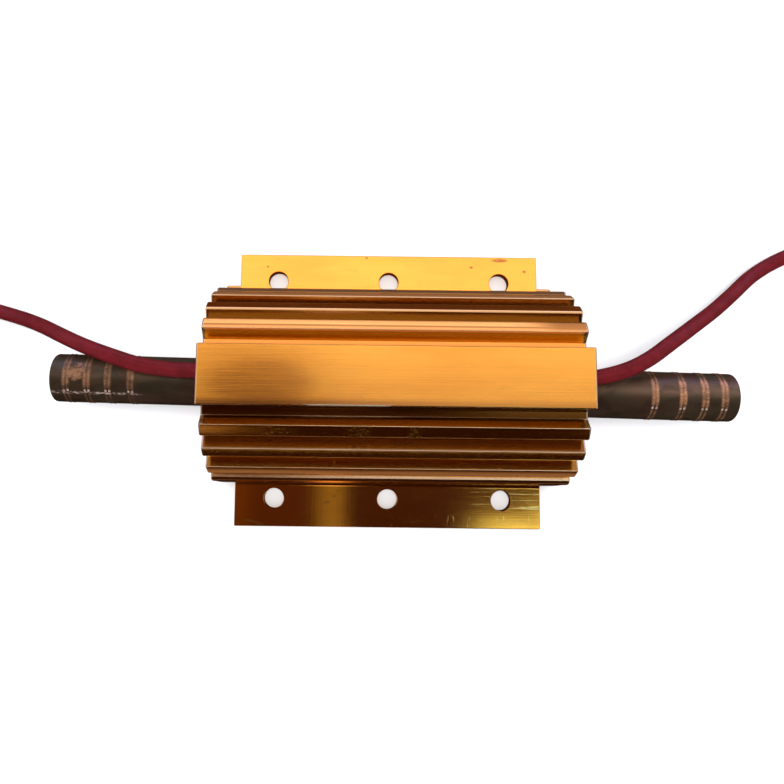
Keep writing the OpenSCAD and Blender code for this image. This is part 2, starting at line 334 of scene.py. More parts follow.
# ---------------------------------------------------------------- materials
def gold_material():
    m = Mat("gold_anodised", Metallic=1.0, Anisotropic=0.5)
    p = m.coords()
    x, y, z = m.split(p)
    nx, ny, nz = m.split(m.normal())
    end = m.step(m.math("ABSOLUTE", nx), 0.6, 0.85)
    flat_top = m.step(nz, 0.96, 0.99)
    flange = m.math("MULTIPLY", flat_top, m.step(z, 6.0, 4.0))
    bar = m.math("MULTIPLY", flat_top, m.step(z, 40.0, 41.0))
    front = m.math("MULTIPLY", flange, m.step(y, -20.0, -24.0))
    # drawing lines of the extrusion die run along X; saw marks on the ends run along Z
    lines = m.noise(m.stretch(p, 0.016, 3.2, 3.2), 1.0, 4.0, 0.62)
    hair = m.noise(m.stretch(p, 0.045, 17, 17, (3.1, 0.7, 1.9)), 1.0, 3.0, 0.6)
    saw = m.noise(m.stretch(p, 6, 6, 0.12), 1.0, 3.0, 0.6)
    across = m.noise(m.stretch(p, 2.6, 0.05, 0.05, (7.0, 2.0, 0.0)), 1.0, 3.0, 0.6)
    streak = m.mixf(0.5, lines, hair)
    streak = m.mixf(m.math("MULTIPLY", front, m.step(x, 14.0, -6.0, 0.0, 0.5)), streak, across)
    streak = m.mixf(end, streak, saw)
    broad = m.noise(m.stretch(p, 0.035, 0.16, 0.16, (5, 1, 2)), 1.0, 3.0, 0.5)
    col = m.mix(m.step(broad, 0.3, 0.7), (0.84, 0.315, 0.030), (0.90, 0.365, 0.040))
    # handling stains, strongest on the front fins
    blotch = m.noise(m.stretch(p, 0.16, 0.5, 0.5), 1.0, 5.0, 0.65, 0.6)
    stain = m.math("MULTIPLY", m.step(blotch, 0.60, 0.74), m.step(y, 12.0, -12.0, 0.25, 0.8))
    stain = m.math("MULTIPLY", stain, m.math("SUBTRACT", 1.0, m.math("MULTIPLY", bar, 0.8)))
    col = m.mix(stain, col, (0.46, 0.22, 0.055))
    # painted shade: the grooves and the bar's side walls are darker than the tips, the front grooves most
    ay = m.math("ABSOLUTE", y)
    h = m.math("SUBTRACT", z, AXIS_Z)
    rad = m.math("SQRT", m.math("ADD", m.math("MULTIPLY", y, y), m.math("MULTIPLY", h, h)))
    groove_shade = m.math("MULTIPLY", m.step(rad, 23.5, 21.4), m.step(z, 18.0, 19.2))
    groove_shade = m.math("MULTIPLY", groove_shade, m.step(ay, 6.7, 6.9))
    bar_side = m.math("MULTIPLY", m.step(m.math("ABSOLUTE", ny), 0.8, 0.95), m.step(z, 34.0, 35.2))
    groove_shade = m.math("MAXIMUM", groove_shade, m.math("MULTIPLY", bar_side, m.step(z, 41.9, 41.2)))
    front_groove_shade = m.math("MULTIPLY", m.step(z, 31.5, 33.5, 0.0, 0.92), m.math("MULTIPLY", m.step(z, 34.78, 35.0, 1.0, 0.72),
                                                                             m.step(z, 35.4, 36.4, 1.0, 1.36)))
    front_groove_shade = m.math("MAXIMUM", front_groove_shade, m.step(z, 30.2, 30.9, 0.0, 0.38))
    rear = m.step(y, -1.0, 1.0)
    col = m.mix(m.math("MULTIPLY", groove_shade, m.mixf(rear, front_groove_shade, m.step(z, 27.5, 22.0, 0.0, 0.92))), col,
                m.mix(m.step(z, 34.78, 35.0), (0.27, 0.115, 0.020), (0.25, 0.19, 0.025)))
    # painted shade in the back grooves
    rear_groove_shade = m.math("MULTIPLY", m.step(z, 27.0, 28.0), m.step(z, 33.6, 33.1))
    rear_groove_shade = m.math("MULTIPLY", m.math("MULTIPLY", rear_groove_shade, rear), m.step(rad, 23.0, 21.6))
    col = m.mix(m.math("MULTIPLY", rear_groove_shade, 0.85), col, (0.135, 0.055, 0.007))
    # painted reflection: a lighter, yellower band on the upper face of the back top fin
    back_fin_sheen = m.math("MULTIPLY", m.math("MULTIPLY", m.step(z, 33.3, 33.8), m.step(z, 37.0, 36.6)), rear)
    back_fin_sheen = m.math("MULTIPLY", back_fin_sheen, m.math("MULTIPLY", m.step(rad, 23.2, 22.6), m.step(ay, 8.2, 8.8)))
    col = m.mix(m.math("MULTIPLY", back_fin_sheen, 0.8), col, (0.72, 0.46, 0.02))
    shade = m.math("MULTIPLY", m.math("MULTIPLY", m.step(z, 35.4, 36.8), m.step(ay, 11.2, 11.0)), rear)
    shade = m.math("MULTIPLY", m.math("MULTIPLY", shade, m.step(rad, 23.25, 23.05)), m.step(ay, 8.2, 8.8))
    col = m.mix(m.math("MULTIPLY", shade, 0.68), col, (0.16, 0.06, 0.004))
    # painted light and shade: lighter and warmer low down in the front grooves, a painted reflection; the shelves
    # beside the bar redder and darker, the front ones most, and the top of the skirt's back side redder and darker,
    # painted shade
    front_groove_glow = m.math("MULTIPLY", m.math("MULTIPLY", m.step(z, 23.5, 24.5), m.step(z, 30.6, 30.0)), m.step(y, 1.0, -1.0))
    col = m.mix(m.math("MULTIPLY", front_groove_glow, m.step(rad, 22.9, 22.4)), col, (1.0, 0.47, 0.08))
    shelf_shade = m.math("MULTIPLY", m.step(m.math("ABSOLUTE", m.math("SUBTRACT", z, 34.66)), 0.22, 0.12),
                   m.step(m.math("ABSOLUTE", m.math("SUBTRACT", ay, 7.75)), 0.98, 0.86))
    col = m.mix(m.math("MULTIPLY", shelf_shade, m.mixf(rear, 0.97, 0.9)), col, m.mix(rear, (0.13, 0.032, 0.003), (0.74, 0.20, 0.022)))
    crown_shade = m.math("MULTIPLY", m.math("MULTIPLY", m.step(z, 17.3, 17.7), m.step(z, 19.2, 19.0)), m.step(y, 22.7, 22.9))
    col = m.mix(m.math("MULTIPLY", crown_shade, 0.9), col, (0.19, 0.085, 0.022))
    # paler along the ridges: partly rubbed anodising, partly painted highlight; the wider lines on the back ridges and
    # the line on the front top fin's lower edge are painted highlights
    ang = m.math("MULTIPLY", m.math("ARCTAN2", h, ay), 180 / math.pi)
    rub_and_glint = None
    for a in (62.0, 45.0, 25.5, RIDGE_D):
        k = m.step(m.math("ABSOLUTE", m.math("SUBTRACT", ang, a)), 0.55, 0.15)
        rub_and_glint = k if rub_and_glint is None else m.math("MAXIMUM", rub_and_glint, k)
    back_ridge_glint = m.math("MAXIMUM", m.step(m.math("ABSOLUTE", m.math("SUBTRACT", ang, 45.1)), 0.62, 0.2),
                      m.step(m.math("ABSOLUTE", m.math("SUBTRACT", ang, 25.6)), 0.62, 0.2, 0.0, 0.62))
    back_ridge_glint = m.math("MULTIPLY", back_ridge_glint, rear)
    rub_and_glint = m.math("MAXIMUM", rub_and_glint, back_ridge_glint)
    low_edge_glint = m.math("MULTIPLY", m.step(m.math("ABSOLUTE", m.math("SUBTRACT", ang, 54.6)), 0.5, 0.15), m.step(y, 1.0, -1.0))
    rub_and_glint = m.math("MAXIMUM", rub_and_glint, m.math("MULTIPLY", low_edge_glint, m.step(x, -26.0, -14.0, 0.1, 0.75)))
    rub_and_glint = m.math("MULTIPLY", m.math("MULTIPLY", rub_and_glint, m.step(rad, 22.55, 22.75)), m.math("SUBTRACT", 1.0, crown_shade))
    # the back top fin: a drawn line along its inner side; painted shade darkens that side and the fin near its right
    # end
    tip = m.math("MULTIPLY", m.math("MULTIPLY", rear, m.step(rad, 22.7, 22.95)), m.math("MULTIPLY", m.step(ang, 53.6, 54.0), m.step(ang, 61.9, 61.5)))
    drawn = m.math("MULTIPLY", m.step(m.math("ABSOLUTE", m.math("SUBTRACT", ang, 59.3)), 1.0, 0.35), m.step(lines, 0.25, 0.5, 0.5, 1.0))
    inner = m.math("MULTIPLY", m.step(ang, 58.2, 59.2), 0.30)
    ends = m.math("MULTIPLY", m.step(x, 28.0, 38.0), m.step(ang, 61.0, 60.0, 0.50, 0.88))
    die_line_and_shade = m.math("MAXIMUM", m.math("MAXIMUM", m.math("MULTIPLY", drawn, 0.82), inner), ends)
    col = m.mix(m.math("MULTIPLY", tip, die_line_and_shade), col, (0.30, 0.100, 0.010))
    # painted highlights along the bar's front top edge and along the root of the front top fin
    edge = m.math("MULTIPLY", m.step(y, -6.52, -6.62), m.step(z, 41.6, 41.75))
    foot = m.math("MULTIPLY", m.step(m.math("ABSOLUTE", m.math("ADD", y, 8.78)), 0.24, 0.08),
                  m.step(m.math("ABSOLUTE", m.math("SUBTRACT", z, 34.68)), 0.30, 0.18))
    foot = m.math("MULTIPLY", foot, m.step(m.math("ABSOLUTE", m.math("ADD", x, 10.5)), 15.0, 6.0, 0.35, 1.0))
    rub_and_glint = m.math("MAXIMUM", rub_and_glint, m.math("MULTIPLY", edge, 0.7))
    rub_and_glint = m.math("MAXIMUM", rub_and_glint, foot)
    rub_and_glint = m.math("MULTIPLY", rub_and_glint, m.step(lines, 0.30, 0.55, 0.35, 0.85))
    rim = m.math("MULTIPLY", m.step(m.math("ABSOLUTE", x), 43.45, 43.75), m.step(z, 3.5, 5.0))
    rim = m.math("MULTIPLY", rim, m.step(m.math("ABSOLUTE", nx), 0.98, 0.9))
    rub_and_glint = m.math("MAXIMUM", rub_and_glint, m.math("MULTIPLY", rim, 0.75))
    col = m.mix(rub_and_glint, col, m.mix(rear, (0.95, 0.66, 0.46), (0.90, 0.55, 0.31)))
    # a darker zone near the left end of the bar: finger marks and a painted dark reflection
    sx = m.math("DIVIDE", m.math("ADD", x, 30.0), 13.0)
    sy = m.math("DIVIDE", m.math("ADD", y, 1.8), 5.8)
    smudge_and_dark_reflection = m.step(m.math("ADD", m.math("MULTIPLY", sx, sx), m.math("MULTIPLY", sy, sy)), 1.3, 0.2)
    smudge_and_dark_reflection = m.math("MULTIPLY", m.math("MULTIPLY", smudge_and_dark_reflection, bar), m.step(streak, 0.32, 0.62, 0.35, 1.0))
    col = m.mix(m.math("MULTIPLY", smudge_and_dark_reflection, 0.62), col, (0.40, 0.118, 0.020))
    # painted shade along the front strip of the bar, strongest at the left
    bar_front_shade = m.math("MULTIPLY", bar, m.step(y, -4.6, -6.4))
    col = m.mix(m.math("MULTIPLY", bar_front_shade, m.step(x, -30.0, 26.0, 0.84, 0.45)), col, (0.28, 0.085, 0.014))
    # scuffs on the front of the top fin, a smudge and specks on the back of the flange
    grain = m.noise(m.stretch(p, 0.7, 1.5, 1.5), 1.0, 5.0, 0.7)
    face = m.math("MULTIPLY", m.step(y, -10.4, -10.9), m.step(z, 34.3, 35.0))
    scuff_and_glint = m.math("MAXIMUM", m.step(m.math("ABSOLUTE", m.math("ADD", x, 7.8)), 4.2, 1.5),
                   m.step(m.math("ABSOLUTE", m.math("SUBTRACT", x, 4.6)), 2.2, 0.6))
    scuff_and_glint = m.math("MAXIMUM", scuff_and_glint, m.step(m.math("ABSOLUTE", m.math("ADD", x, 27.0)), 7.0, 2.0, 0.0, 0.6))
    scuff_and_glint = m.math("MULTIPLY", m.math("MULTIPLY", scuff_and_glint, face), m.step(grain, 0.36, 0.66))
    col = m.mix(m.math("MULTIPLY", scuff_and_glint, 0.40), col, (0.50, 0.32, 0.11))
    spots = None
    for sx, sy, rx, ry in ((30.3, 35.6, 2.2, 0.55), (-6.1, 35.9, 0.45, 0.3), (22.5, 33.6, 0.55, 0.35), (37.0, 32.6, 0.5, 0.4),
                           (-33.0, 33.2, 0.35, 0.3)):
        a = m.math("DIVIDE", m.math("SUBTRACT", x, sx), rx)
        b = m.math("DIVIDE", m.math("SUBTRACT", y, sy), ry)
        k = m.step(m.math("ADD", m.math("MULTIPLY", a, a), m.math("MULTIPLY", b, b)), 1.6, 0.1)
        spots = k if spots is None else m.math("MAXIMUM", spots, k)
    spots = m.math("MULTIPLY", m.math("MULTIPLY", spots, flat_top), m.step(grain, 0.32, 0.52, 0.4, 1.0))
    col = m.mix(m.math("MULTIPLY", spots, 0.88), col, (0.20, 0.045, 0.012))
    # scratches at the right of the front flange; a painted highlight along a length of the bar's front edge
    scr = m.noise(m.stretch(p, 0.10, 7.5, 7.5, (1, 5, 0)), 1.0, 2.0, 0.5)
    area = m.math("MULTIPLY", m.math("MULTIPLY", m.step(x, 17.0, 26.0), front), m.step(y, -33.5, -31.0))
    scr = m.math("MULTIPLY", m.step(scr, 0.60, 0.66), area)
    tick = m.noise(m.stretch(p, 3.0, 0.25, 0.25, (9, 1, 0)), 1.0, 2.0, 0.5)
    tick = m.math("MULTIPLY", m.math("MULTIPLY", m.step(tick, 0.66, 0.72), front), m.step(y, -32.5, -34.0))
    scr = m.math("MAXIMUM", scr, m.math("MULTIPLY", tick, m.step(x, -6.0, 2.0)))
    col = m.mix(m.math("MULTIPLY", scr, 0.55), col, (0.98, 0.76, 0.36))
    bar_edge_glint = m.math("MULTIPLY", m.step(m.math("ABSOLUTE", m.math("ADD", x, 10.5)), 10.5, 7.5),
                  m.math("MULTIPLY", m.step(y, -6.42, -6.55), m.step(z, 41.35, 41.6)))
    bar_edge_glint = m.math("MULTIPLY", bar_edge_glint, m.step(lines, 0.34, 0.50, 0.5, 1.0))
    col = m.mix(bar_edge_glint, col, (0.98, 0.84, 0.66))
    # the notched corners of the flange are duller
    notch = m.math("MULTIPLY", m.math("MULTIPLY", m.step(m.math("ABSOLUTE", x), 40.1, 40.4), m.step(z, 6.0, 4.5)), rear)
    col = m.mix(m.math("MULTIPLY", notch, 0.6), col, (0.30, 0.17, 0.09))
    # pits and specks
    pit = m.voronoi(m.stretch(p, 0.35, 0.5, 0.5), 0.55)
    pit = m.step(pit, 0.035, 0.015)
    col = m.mix(m.math("MULTIPLY", pit, 0.7), col, (0.20, 0.07, 0.01))
    m.set(Base_Color=col)
    rough = m.line(streak, 0.28, 0.72, 0.09, 0.21)
    rough = m.math("ADD", rough, m.math("MULTIPLY", end, 0.14))
    rough = m.math("MULTIPLY", rough, m.math("SUBTRACT", 1.0, m.math("ADD", m.math("MULTIPLY", flange, 0.35), m.math("MULTIPLY", front, 0.25))))
    rough = m.math("ADD", rough, m.math("MULTIPLY", stain, 0.15))
    rough = m.math("ADD", rough, m.math("MULTIPLY", m.math("MAXIMUM", bar_edge_glint, foot), 0.4))
    back_ridge_glint = m.math("MULTIPLY", back_ridge_glint, m.step(rad, 22.55, 22.75))
    rough = m.math("ADD", rough, m.math("MULTIPLY", back_ridge_glint, 0.15))
    m.set(Metallic=m.math("SUBTRACT", 1.0, m.math("MULTIPLY", back_ridge_glint, 0.62)))
    rough = m.math("ADD", rough, m.math("MULTIPLY", scr, 0.12))
    rough = m.math("ADD", rough, m.math("MULTIPLY", scuff_and_glint, 0.2))
    m.set(Roughness=rough)
    # a thinner coat over the front shelves' painted shade and over the back top fin's line and painted shade
    marks_and_painted_light = m.math("MAXIMUM", m.math("MULTIPLY", shelf_shade, m.step(y, 1.0, -1.0)), m.math("MULTIPLY", tip, die_line_and_shade))
    m.set(Coat_Weight=m.math("SUBTRACT", 0.6, m.math("MULTIPLY", marks_and_painted_light, 0.5)))
    m.b.inputs["Coat Roughness"].default_value = 0.12
    m.b.inputs["Coat IOR"].default_value = 1.55
    tan = m.node("Tangent", direction_type="RADIAL", axis="X")
    m.set(Tangent=tan.outputs[0])
    m.set(Normal=m.bump(m.mixf(m.math("MULTIPLY", flange, 0.75), streak, 0.5), 0.7, 0.017))
    return m.m


def wire_material():
    m = Mat("red_silicone", Roughness=0.42)
    p = m.coords()
    n = m.noise(p, 0.30, 4.0, 0.6)
    f = m.noise(p, 2.6, 3.0, 0.6)
    col = m.mix(m.step(n, 0.35, 0.65), (0.094, 0.0040, 0.0070), (0.124, 0.0052, 0.0092))
    dust = m.voronoi(p, 0.7)
    col = m.mix(m.math("MULTIPLY", m.step(dust, 0.10, 0.04), 0.35), col, (0.32, 0.12, 0.10))
    m.set(Base_Color=col)
    m.set(Roughness=m.line(f, 0.3, 0.7, 0.34, 0.5))
    m.set(Normal=m.bump(f, 0.25, 0.03))
    m.b.inputs["Specular IOR Level"].default_value = 0.12
    return m.m


def copper_material():
    """Dark oxide, copper showing where the beads have rubbed; painted shade along the front, painted sheen and
    highlights on the upper side.
    """
    m = Mat("oxidised_copper")
    p = m.coords()
    x, y, z = m.split(p)
    n = m.noise(m.stretch(p, 0.14, 0.30, 0.30), 1.0, 4.0, 0.6, 0.5)
    hue = m.noise(m.stretch(p, 0.10, 0.12, 0.12, (4, 8, 1)), 1.0, 2.0, 0.5)
    fine = m.noise(m.stretch(p, 1.2, 3.0, 3.0), 1.0, 4.0, 0.65)
    col = m.mix(m.step(n, 0.3, 0.7), (0.027, 0.013, 0.007), (0.066, 0.033, 0.018))
    col = m.mix(m.step(hue, 0.45, 0.62, 0.0, 0.4), col, (0.040, 0.038, 0.022))
    col = m.mix(m.step(hue, 0.48, 0.34, 0.0, 0.45), col, (0.060, 0.030, 0.028))
    # painted shade darkens it along the front; a painted sheen runs along the top of the right end
    col = m.mix(m.step(y, 0.5, -2.0, 0.12, 0.48), col, (0.010, 0.005, 0.002))
    top_sheen = m.math("MULTIPLY", m.step(m.math("ABSOLUTE", m.math("SUBTRACT", y, 1.5)), 2.5, 0.5), m.step(z, 2.0, 4.5))
    top_sheen = m.math("MULTIPLY", top_sheen, m.step(n, 0.25, 0.6, 0.45, 1.0))
    col = m.mix(m.math("MULTIPLY", top_sheen, m.step(x, 46.0, 66.0, 0.06, 0.62)), col, (0.145, 0.085, 0.056))
    x0, x1 = PIPE_SHIFT - PIPE_L / 2, PIPE_SHIFT + PIPE_L / 2
    d = None
    for c in [x0 + b for b in BEADS_L] + [x1 - b for b in BEADS_R]:
        k = m.math("ABSOLUTE", m.math("SUBTRACT", x, c))
        d = k if d is None else m.math("MINIMUM", d, k)
    line = m.step(m.math("ABSOLUTE", m.math("SUBTRACT", d, 0.47)), 0.34, 0.16)
    band = m.step(d, 1.05, 0.8)
    upper = m.step(z, -2.0, 4.5)
    lit = m.math("MULTIPLY", m.step(y, -3.4, -1.2), m.step(y, 4.6, 2.6))
    # rubbed copper along the beads, painted brighter on the lit upper side
    wear_and_sheen = m.math("MULTIPLY", line, m.step(fine, 0.36, 0.56, 0.25, 1.0))
    wear_and_sheen = m.math("MULTIPLY", wear_and_sheen, m.math("ADD", 0.30, m.math("MULTIPLY", m.math("MULTIPLY", upper, lit), 0.70)))
    # painted sheen of copper colour over the upper side of the beads
    bead_sheen = m.math("MULTIPLY", m.math("MULTIPLY", band, upper), m.math("MULTIPLY", lit, 0.40))
    patchy = m.step(m.noise(m.stretch(p, 0.25, 0.55, 0.55, (2, 9, 4)), 1.0, 3.0, 0.6), 0.38, 0.56, 0.35, 1.0)
    faint = m.mixf(m.step(x, -5.0, 5.0), 0.42, 1.0)
    wear_and_sheen = m.math("MULTIPLY", m.math("MULTIPLY", wear_and_sheen, patchy), faint)
    bead_sheen = m.math("MULTIPLY", m.math("MULTIPLY", bead_sheen, patchy), faint)
    # a rubbed patch near the left end, and a broken pale line near it that is a painted highlight
    wob = m.math("SUBTRACT", m.noise(m.stretch(p, 0.55, 0.55, 0.55), 1.0, 4.0, 0.7), 0.5)
    ex = m.math("DIVIDE", m.math("SUBTRACT", x, -77.0), 2.1)
    ey = m.math("DIVIDE", m.math("SUBTRACT", y, 1.0), 2.2)
    reach = m.math("ADD", m.math("ADD", m.math("MULTIPLY", ex, ex), m.math("MULTIPLY", ey, ey)), m.math("MULTIPLY", wob, 5.0))
    patch = m.step(reach, 1.2, 0.2)
    patch = m.math("MULTIPLY", m.math("MULTIPLY", patch, upper), m.step(fine, 0.34, 0.54))
    scuff_and_glint = m.math("MULTIPLY", m.step(m.math("ABSOLUTE", m.math("ADD", y, 3.85)), 0.40, 0.12), upper)
    scuff_and_glint = m.math("MULTIPLY", scuff_and_glint, m.step(x, -60.0, -64.0))
    scuff_and_glint = m.math("MULTIPLY", scuff_and_glint, m.step(m.noise(m.stretch(p, 0.8, 2.5, 2.5), 1.0, 4.0, 0.7), 0.47, 0.60))
    # pale spots on the front of the beads: painted highlights
    ring_glint = m.math("MULTIPLY", m.step(m.math("ABSOLUTE", m.math("ADD", y, 3.35)), 0.36, 0.08), m.math("MULTIPLY", line, upper))
    ring_glint = m.math("MULTIPLY", ring_glint, m.step(fine, 0.34, 0.54))
    # copper colour, more metallic and smoother where rubbed and where the painted sheen is
    marks_and_painted_light = m.math("MAXIMUM", m.math("MAXIMUM", wear_and_sheen, bead_sheen), m.math("MULTIPLY", patch, 0.36))
    col = m.mix(marks_and_painted_light, col, (0.62, 0.285, 0.150))
    pale = m.math("MAXIMUM", m.math("MULTIPLY", scuff_and_glint, 0.45), m.math("MULTIPLY", ring_glint, 0.6))
    col = m.mix(pale, col, (0.76, 0.56, 0.48))
    m.set(Base_Color=col)
    m.set(Metallic=m.math("ADD", 0.25, m.math("MULTIPLY", marks_and_painted_light, 0.5)))
    m.set(Roughness=m.math("SUBTRACT", m.line(fine, 0.3, 0.7, 0.32, 0.50), m.math("MULTIPLY", marks_and_painted_light, 0.12)))
    m.set(Normal=m.bump(m.mixf(0.5, n, fine), 0.35, 0.03))
    m.b.inputs["Specular IOR Level"].default_value = 0.38
    m.b.inputs["Specular Tint"].default_value = (1.0, 0.86, 0.72, 1.0)
    return m.m


def plain(name, a, b, rough, scale=0.6, metallic=0.0, bump_mm=0.02):
    m = Mat(name, Metallic=metallic)
    p = m.coords()
    n = m.noise(p, scale, 4.0, 0.6)
    m.set(Base_Color=m.mix(n, a, b))
    m.set(Roughness=m.line(n, 0.3, 0.7, rough - 0.06, rough + 0.06))
    m.set(Normal=m.bump(n, 0.5, bump_mm))
    return m.m


GOLD = gold_material()
WIRE = wire_material()
COPPER = copper_material()
CERAMIC = plain("white_ceramic", (0.78, 0.76, 0.70), (0.86, 0.84, 0.80), 0.5)
CEMENT = plain("cement", (0.55, 0.53, 0.47), (0.66, 0.64, 0.58), 0.85, 2.0, bump_mm=0.1)
SEAL = plain("seal_cement", (0.70, 0.68, 0.62), (0.80, 0.79, 0.74), 0.8, 2.0, bump_mm=0.1)
ALLOY = plain("resistance_alloy", (0.35, 0.34, 0.33), (0.48, 0.47, 0.45), 0.35, 2.0, metallic=1.0)
TINNED = plain("tinned_metal", (0.62, 0.62, 0.63), (0.75, 0.75, 0.76), 0.32, 3.0, metallic=1.0)
NYLON = plain("nylon", (0.72, 0.72, 0.68), (0.80, 0.80, 0.77), 0.42, 1.5)

# ---------------------------------------------------------------- housing
def polar(r, a):
    a = math.radians(a)
    return (r * math.cos(a), AXIS_Z + r * math.sin(a))


def fillet(pts, d=0.0):
    """Closed outline [(y, z, radius)] moved inwards by d, its corners rounded; the count of
    points depends on the outline only, so two calls with different d can be bridged."""
    n = len(pts)
    p = [Vector((q[0], q[1])) for q in pts]
    moved = []
    for i in range(n):
        e0 = (p[i] - p[i - 1]).normalized()
        e1 = (p[(i + 1) % n] - p[i]).normalized()
        n0, n1 = Vector((-e0.y, e0.x)), Vector((-e1.y, e1.x))
        m = n0 + n1
        moved.append(p[i] + m * (d * 2.0 / max(0.3, m.dot(m))))
    out = []
    for i in range(n):
        e0 = (p[i] - p[i - 1]).normalized()
        e1 = (p[(i + 1) % n] - p[i]).normalized()
        turn = math.atan2(e0.x * e1.y - e0.y * e1.x, e0.dot(e1))
        r = pts[i][2]
        if r <= 0:
            out.append(moved[i])
            continue
        r = max(0.012, r - d) if turn > 0 else r + d
        a, b, c = moved[i - 1], moved[i], moved[(i + 1) % n]
        f0, f1 = (b - a).normalized(), (c - b).normalized()
        t = min(r * math.tan(abs(turn) / 2), 0.47 * (b - a).length, 0.47 * (c - b).length)
        r = t / math.tan(abs(turn) / 2)
        s0 = b - f0 * t
        sign = 1 if turn > 0 else -1
        centre = s0 + Vector((-f0.y, f0.x)) * (r * sign)
        k = max(2, math.ceil(abs(turn) / math.radians(24)))
        a0 = math.atan2(s0.y - centre.y, s0.x - centre.x)
        for j in range(k + 1):
            w = a0 + turn * j / k
            out.append(centre + Vector((math.cos(w), math.sin(w))) * r)
    return out


def prism(name, pts, half, edge, steps=3):
    """Outline extruded along X to +-half, its ends rounded by the radius edge."""
    bm = bmesh.new()
    rings = []
    secs = []
    for k in range(steps + 1):
        t = math.radians(90 * k / steps)
        secs.append((half - edge + edge * math.sin(t), edge * (1 - math.cos(t))))
    xs = [(-x, d) for x, d in reversed(secs)] + secs
    for x, d in xs:
        rings.append([bm.verts.new((x * MM, q.x * MM, q.y * MM)) for q in fillet(pts, d)])
    n = len(rings[0])
    for a, b in zip(rings, rings[1:]):
        for i in range(n):
            j = (i + 1) % n
            bm.faces.new((a[i], a[j], b[j], b[i]))
    bm.faces.new(list(reversed(rings[0])))
    bm.faces.new(rings[-1])
    bmesh.ops.recalc_face_normals(bm, faces=bm.faces)
    return link_mesh(name, bm)


def lathe(name, profile, axis, seg=64, closed=True):
    """Profile [(s along the axis, radius)] turned round the axis 'X' or 'Z'."""
    bm = bmesh.new()
    rings = []
    for s, r in profile:
        ring = []
        for i in range(seg):
            a = 2 * math.pi * i / seg
            c, d = r * math.cos(a), r * math.sin(a)
            ring.append(bm.verts.new(((s, c, d) if axis == "X" else (c, d, s))))
        rings.append(ring)
    pairs = list(zip(rings, rings[1:]))
    for a, b in pairs:
        for i in range(seg):
            j = (i + 1) % seg
            bm.faces.new((a[i], a[j], b[j], b[i]))
    if closed:
        bm.faces.new(list(reversed(rings[0])))
        bm.faces.new(rings[-1])
    else:
        a, b = rings[-1], rings[0]
        for i in range(seg):
            j = (i + 1) % seg
            bm.faces.new((a[i], a[j], b[j], b[i]))
    bmesh.ops.scale(bm, vec=(MM, MM, MM), verts=bm.verts)
    bmesh.ops.recalc_face_normals(bm, faces=bm.faces)
    return link_mesh(name, bm)


def boolean(obj, others, op):
    for o in others:
        mod = obj.modifiers.new("cut", "BOOLEAN")
        mod.operation = op
        mod.object = o
        mod.solver = "MANIFOLD"
    apply_modifiers(obj)
    for o in others:
        m = o.data
        bpy.data.objects.remove(o)
        if m.users == 0:
            bpy.data.meshes.remove(m)


def fin_corners(f):
    lo_a, hi_a, root_a, lo_in, hi_in = f
    rl, rh = TIP_R - lo_in, TIP_R - hi_in
    pts = [(*polar(CORE_R, lo_a - ROOT_DN), 0.35), (*polar(rl, lo_a), 0.7)]
    pts += [(*polar(rl + (rh - rl) * k / 5, lo_a + (hi_a - lo_a) * k / 5), 0.0) for k in range(1, 5)]
    return pts + [(*polar(rh, hi_a), 0.2), (*polar(CORE_R, root_a), 0.3)]


def make_housing():
    upper = [(y, z, 0.0) for y, z in SKIRT]
    upper += [(*polar(TIP_R, RIDGE_D), 0.2), (*polar(CORE_R, RIDGE_D + 0.6), 0.35)]
    for f in reversed(FINS):
        upper += fin_corners(f)
    upper += [(BAR_W / 2, 34.72, 0.4), (BAR_W / 2, BODY_H, 0.28)]
    foot = [(26.0 - math.sin(math.radians(22.5 * k)), FLANGE_T + 1 - math.cos(math.radians(22.5 * k)), 0.0)
            for k in range(5)]
    back = [(NOTCH_BACK, 0.01, 0.12), (NOTCH_BACK, FLANGE_T - 0.01, 0.12)]
    back += [(y, z - 0.01 if z < 3.5 else z, 0.0) for y, z, r in foot]
    front = [(NOTCH_FRONT, 0.01, 0.12), (NOTCH_FRONT, 3.46, 0.0), (25.0, 4.0, 0.0)]
    outline = back + upper + [(-y, z, r) for y, z, r in reversed(front + upper)]
    body = prism("finned_housing", outline, BODY_L / 2, 0.4)
    half = [(FLANGE_W / 2, 0.0, 0.16), (FLANGE_W / 2, FLANGE_T, 0.16)] + foot + [(18.0, 4.0, 0.0)]
    plate = prism("plate", half + [(-y, z, r) for y, z, r in reversed(half)], FLANGE_L / 2, 0.16, 2)
    boolean(body, [plate], "UNION")
    h = BODY_L / 2
    bore = lathe("bore", [(-h - 2, BORE_R + 0.25), (-h + 0.0, BORE_R + 0.25), (-h + 0.25, BORE_R),
                          (h - 0.25, BORE_R), (h - 0.0, BORE_R + 0.25), (h + 2, BORE_R + 0.25)], "X", 96)
    for v in bore.data.vertices:
        v.co.z += AXIS_Z * MM
    holes = []
    for ix in (-1, 0, 1):
        for sy in (-1, 1):
            o = lathe("hole", [(-1, HOLE_R + 0.1), (0.0, HOLE_R + 0.1), (0.1, HOLE_R), (FLANGE_T - 0.1, HOLE_R),
                               (FLANGE_T, HOLE_R + 0.1), (FLANGE_T + 1, HOLE_R + 0.1)], "Z", 56)
            for v in o.data.vertices:
                v.co.x += ix * HOLE_PITCH * MM
                v.co.y += sy * ROW * MM
            holes.append(o)
    boolean(body, [bore] + holes, "DIFFERENCE")
    body.data.materials.clear()
    body.data.materials.append(GOLD)
    body.data.shade_smooth()
    body.data.set_sharp_from_angle(angle=math.radians(40))
    mod = body.modifiers.new("weight", "WEIGHTED_NORMAL")
    mod.keep_sharp = True
    mod.weight = 60
    apply_modifiers(body)
    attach(body, "root")
    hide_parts("housing")
    return body


